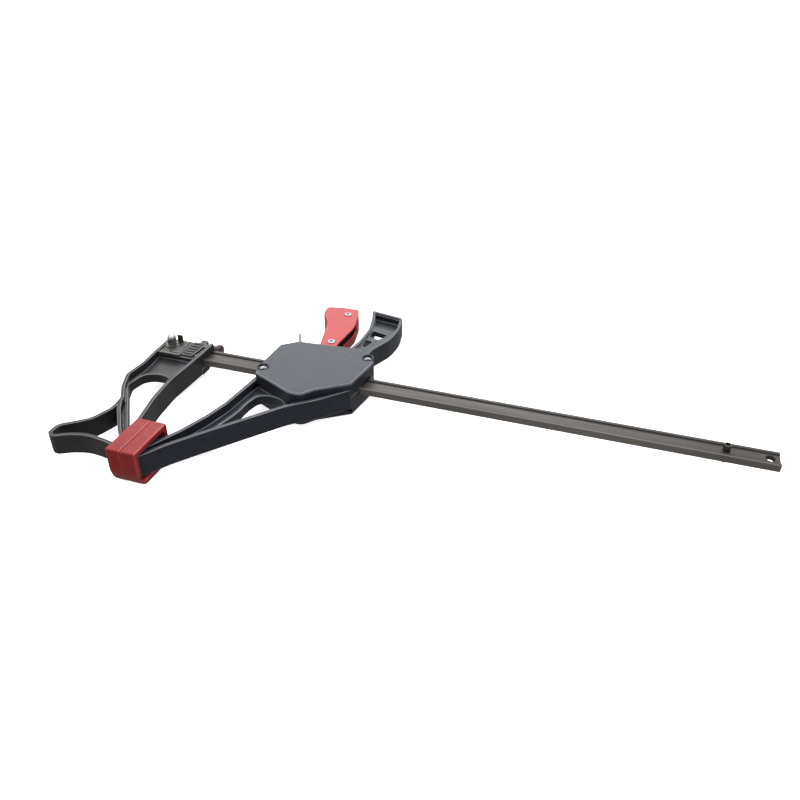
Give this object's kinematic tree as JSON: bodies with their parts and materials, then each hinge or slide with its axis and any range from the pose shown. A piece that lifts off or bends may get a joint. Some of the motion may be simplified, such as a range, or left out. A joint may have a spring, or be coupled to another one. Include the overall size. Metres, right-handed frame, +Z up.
{
  "type": "one-handed trigger bar clamp",
  "caption": "Deep-reach one-handed bar clamp: padded jaw on a long steel bar, sliding trigger housing with a second padded jaw, hand grip and release lever.",
  "frame": {"origin": "bottom centre of the whole clamp's box as it lies flat with its jaws closed", "axes": "+X along the bar from the fixed jaw to the free end, +Y across the bar to the hand grip, +Z up from the surface it lies on"},
  "size_m": [0.568, 0.3028, 0.0369],
  "materials": {
    "bar_steel": "dark phosphated, fine drawn lines",
    "pin_steel": "dull steel",
    "black_casting": "satin black paint on a fine cast skin",
    "housing_black": "satin charcoal, glass filled",
    "black_steel": "blackened",
    "black_screw": "blackened, slightly brown",
    "olive_steel": "olive passivated zinc",
    "zinc_steel": "bright zinc",
    "chrome_nut": "bright",
    "red_pad": "soft satin red",
    "red_grip": "satin red",
    "guide_nylon": "black nylon",
    "spring_steel": "oiled wire",
    "plate_steel": "hardened and oiled",
    "lever_steel": "plain steel, light scale"
  },
  "bodies": {
    "bar_and_fixed_jaw": {"bar": "bar_steel", "stop_pin": "pin_steel", "fixed_jaw": "black_casting", "head_plate": "black_steel", "head_stud": "zinc_steel", "tab_washer": "olive_steel", "dome_nut": "chrome_nut", "lock_screw": "black_screw", "fixed_pad": "red_pad"},
    "carriage": {"jaw_housing": "housing_black", "housing_cover": "housing_black", "housing_screws": "zinc_steel", "left_bar_guide": "guide_nylon", "right_bar_guide": "guide_nylon", "trigger_pin": "pin_steel", "moving_pad": "red_pad", "drive_spring": "spring_steel", "brake_spring": "spring_steel"},
    "trigger": {"trigger_core": "black_steel", "trigger_upper_shell": "red_grip", "trigger_lower_shell": "red_grip", "trigger_rivets": "zinc_steel"},
    "drive_plates": {"drive_plate_left": "plate_steel", "drive_plate_right": "plate_steel"},
    "release_lever": {"release_lever": "lever_steel"}
  },
  "joints": [
    {"name": "jaw_slide", "type": "slide", "parent": "bar_and_fixed_jaw", "child": "carriage", "axis": [1, 0, 0], "range_m": [0, 0.3]},
    {"name": "trigger_squeeze", "type": "hinge", "parent": "carriage", "child": "trigger", "pos_m": [-0.11755, -0.00344, 0.01735], "axis": [0, 0, -1], "range_deg": [0, 5], "stiffness_Nm_per_rad": 2, "springref_deg": -8.59},
    {"name": "drive_plate_stroke", "type": "slide", "parent": "carriage", "child": "drive_plates", "axis": [1, 0, 0], "range_m": [0, 0.0024], "deforming": ["drive_spring"]},
    {"name": "release_lever_tilt", "type": "hinge", "parent": "carriage", "child": "release_lever", "pos_m": [-0.15355, 0.00856, 0.01735], "axis": [0, 0, -1], "range_deg": [0, 5], "stiffness_Nm_per_rad": 1, "springref_deg": -8.59, "deforming": ["brake_spring"]}
  ],
  "couplings": [
    {"joint": "drive_plate_stroke", "follows": "trigger_squeeze", "m_per_rad": 0.026}
  ]
}
